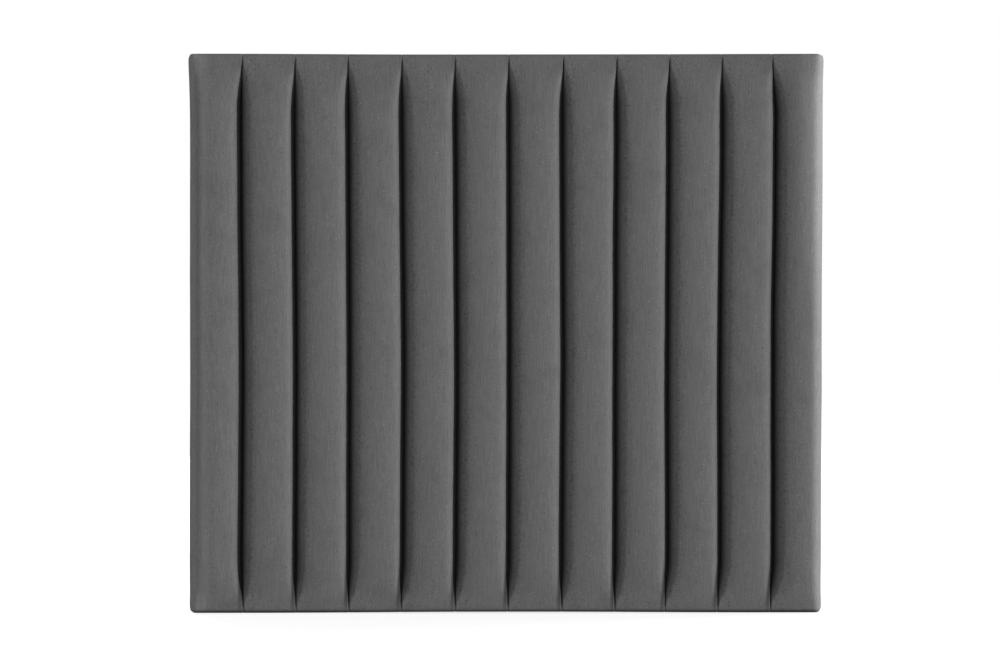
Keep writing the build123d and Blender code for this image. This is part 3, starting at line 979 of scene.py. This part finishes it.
sheet_columns = even_places((-sheet_half_width, -insert_x, insert_x, sheet_half_width), column_counts)
sheet_rows = even_places((sheet_low, *insert_heights, sheet_high), row_counts)
points = [sheet_point(x, z) for z in sheet_rows for x in sheet_columns]
across = len(sheet_columns)
hole_columns = (column_counts[0], sum(column_counts[:2]))
hole_rows = (row_counts[0], sum(row_counts[:2]))
holes = [(column, row) for column in hole_columns for row in hole_rows]
half = 2
faces = []
for face in grid_faces(len(sheet_rows), across):
    row, column = divmod(face[0], across)
    if not any(c - half <= column < c + half and r - half <= row < r + half for c, r in holes):
        faces.append(face)
for column, row in holes:
    centre = points[row * across + column]
    steps = range(-half, half)
    rim = [(step, -half) for step in steps] + [(half, step) for step in steps]
    rim += [(-step, half) for step in steps] + [(-half, -step) for step in steps]
    ring = [(row + up) * across + column + over for over, up in rim]
    for radius in hole_rings:
        inner = []
        for over, up in rim:
            away = Vector((over, 0, up)).normalized() * radius
            inner.append(len(points))
            points.append(sheet_point(centre.x + away.x, centre.z + away.z))
        faces += join_rings(ring, inner)
        ring = inner
last_row, last_column = len(sheet_rows) - 1, across - 1
edge = [(column, 0) for column in range(last_column)] + [(last_column, row) for row in range(last_row)]
edge += [(last_column - column, last_row) for column in range(last_column)]
edge += [(0, last_row - row) for row in range(last_row)]
ring = [row * across + column for column, row in edge]
sheet_middle = (sheet_low + sheet_high) / 2
sheet_half_height = (sheet_high - sheet_low) / 2
fold = (
    (-0.0002, fold_front + sheet_thickness),
    (0.0, fold_front),
    (fold_under / 2, fold_front),
    (fold_under, fold_front),
)
for drawn, y in fold:
    inner = []
    for column, row in edge:
        x = sheet_columns[column] * (sheet_half_width - drawn) / sheet_half_width
        up = (sheet_rows[row] - sheet_middle) * (sheet_half_height - drawn) / sheet_half_height
        inner.append(len(points))
        points.append(Vector((x, y, sheet_middle + up)))
    faces += join_rings(ring, inner)
    ring = inner
used = sorted({corner for face in faces for corner in face})
number_of = {old: new for new, old in enumerate(used)}
dust_cover = form_mesh(
    "dust_cover_sheet",
    [points[old] for old in used],
    [tuple(number_of[corner] for corner in face) for face in faces],
)
face_out(dust_cover)
if sum(face.normal.y * face.area for face in dust_cover.data.polygons) < 0:
    dust_cover.data.flip_normals()
thicken(dust_cover, sheet_thickness)
apply_all(dust_cover)
smooth_all(dust_cover, 50)

spun_cloth, tree, shader, place = new_finish("black_spun_cloth", 0.78, 0.18)
fibres = place_pattern(
    tree, loose_fibres,
    {
        "Place": place,
        "Pale": (0.034, 0.034, 0.036, 1),
        "Dark": (0.012, 0.012, 0.013, 1),
        "Fibre Count": 520.0,
    },
)
dots = add_node(tree, "ShaderNodeTexVoronoi", {"Vector": place, "Scale": 620.0, "Randomness": 0.0})
dot_height = grade(tree, dots.outputs["Distance"], 0.2, 0.5)
cloth_height = calculate(tree, "MULTIPLY_ADD", fibres["Height"], 0.5, dot_height)
tree.links.new(fibres["Color"], shader.inputs["Base Color"])
add_relief(tree, shader, cloth_height, 0.5, 0.0002)
dust_cover.data.materials.append(spun_cloth)
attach(dust_cover, "root")
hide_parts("dust_cover")

# Dust cover staples: galvanised wire staples, the same as in the hem, driven all round through the
# folded edge of the dust cover and the hem into the frame.
give_finish(["dust_cover_staples"], galvanised_wire)


# Floor and room: a wide white floor that the board stands on, with a little glow of its own where it is
# looked at, and white walls far off that are brighter to look at than the light they give.
def looked_at(tree):
    """1 where a surface is seen, straight on, through glass or in a mirror, and 0 where it gives light."""
    rays = add_node(tree, "ShaderNodeLightPath").outputs
    seen = calculate(tree, "MAXIMUM", rays["Is Camera Ray"], rays["Is Glossy Ray"])
    return calculate(tree, "MAXIMUM", seen, rays["Is Transmission Ray"])


bpy.ops.object.select_all(action="DESELECT")
bpy.ops.mesh.primitive_plane_add(size=14, location=(0, 0, 0))
floor = bpy.context.object
floor.name = "floor"
floor_finish, tree, shader, place = new_finish("white_floor", 0.9, 0.1)
shader.inputs["Base Color"].default_value = (0.6, 0.6, 0.6, 1)
glow_strength = calculate(tree, "MULTIPLY", looked_at(tree), 0.68)
glow = add_node(tree, "ShaderNodeEmission", {"Color": (1, 1, 1, 1), "Strength": glow_strength})
both = add_node(tree, "ShaderNodeAddShader", {0: shader.outputs[0], 1: glow.outputs[0]})
tree.links.new(both.outputs[0], tree.nodes["Material Output"].inputs["Surface"])
floor.data.materials.append(floor_finish)

room = bpy.data.worlds.new("room")
room.use_nodes = True
bpy.context.scene.world = room
tree = room.node_tree
sky = tree.nodes["Background"]
sky.inputs["Color"].default_value = (1, 1, 1, 1)
tree.links.new(grade(tree, looked_at(tree), 0.0, 1.0, 0.36, 1.0), sky.inputs["Strength"])

# Lamps: a low key light from the right that rakes across the channels, a wide soft lamp in front, a rim
# light from behind on the right, and a soft lamp behind that lights the dust cover.
board_middle = Vector((0, 0, 0.6))


def add_lamp(name, kind, energy, shines_from, **settings):
    lamp = bpy.data.lights.new(name, kind)
    lamp.energy = energy
    for setting, value in settings.items():
        setattr(lamp, setting, value)
    made = bpy.data.objects.new(name, lamp)
    bpy.context.scene.collection.objects.link(made)
    made.rotation_euler = shines_from.to_track_quat("Z", "Y").to_euler()
    return made


def low_light(name, energy, bearing, rise, spread_angle):
    """A far light with its bearing from the front towards the right, and its rise over the floor."""
    turn = math.radians(bearing)
    shines_from = Vector((math.sin(turn), -math.cos(turn), rise))
    add_lamp(name, "SUN", energy, shines_from, angle=math.radians(spread_angle))


def soft_lamp(name, energy, place, width, height):
    """A wide lamp at a place, turned to the middle of the board."""
    shape = {"shape": "RECTANGLE", "size": width, "size_y": height}
    add_lamp(name, "AREA", energy, place - board_middle, **shape).location = place


low_light("key", 3.5, 66, 0.15, 3)
soft_lamp("fill", 62, Vector((-1.2, -6.0, 1.5)), 4.0, 3.0)
low_light("rim", 2.0, 108, 0.12, 12)
soft_lamp("back_light", 160, Vector((-1.2, 4.2, 1.2)), 3.0, 2.0)

# Camera: a long lens straight in front of the board, a little above its middle and looking slightly
# down, so that the channels stand parallel as in the photo.
sensor_width = 36
camera_distance = 8.0
view_width = 2.155
pitch = math.radians(2.5)
roll = math.radians(0.06)
aim = Vector((-0.0114, 0.0, 0.6006))
camera_data = bpy.data.cameras.new("camera")
camera_data.sensor_width = sensor_width
camera_data.lens = sensor_width * camera_distance / view_width
camera = bpy.data.objects.new("camera", camera_data)
bpy.context.scene.collection.objects.link(camera)
camera.location = aim + Vector((0, -math.cos(pitch), math.sin(pitch))) * camera_distance
camera.rotation_euler = (math.pi / 2 - pitch, roll, 0)
bpy.context.scene.camera = camera

bpy.context.scene.view_settings.view_transform = "Standard"
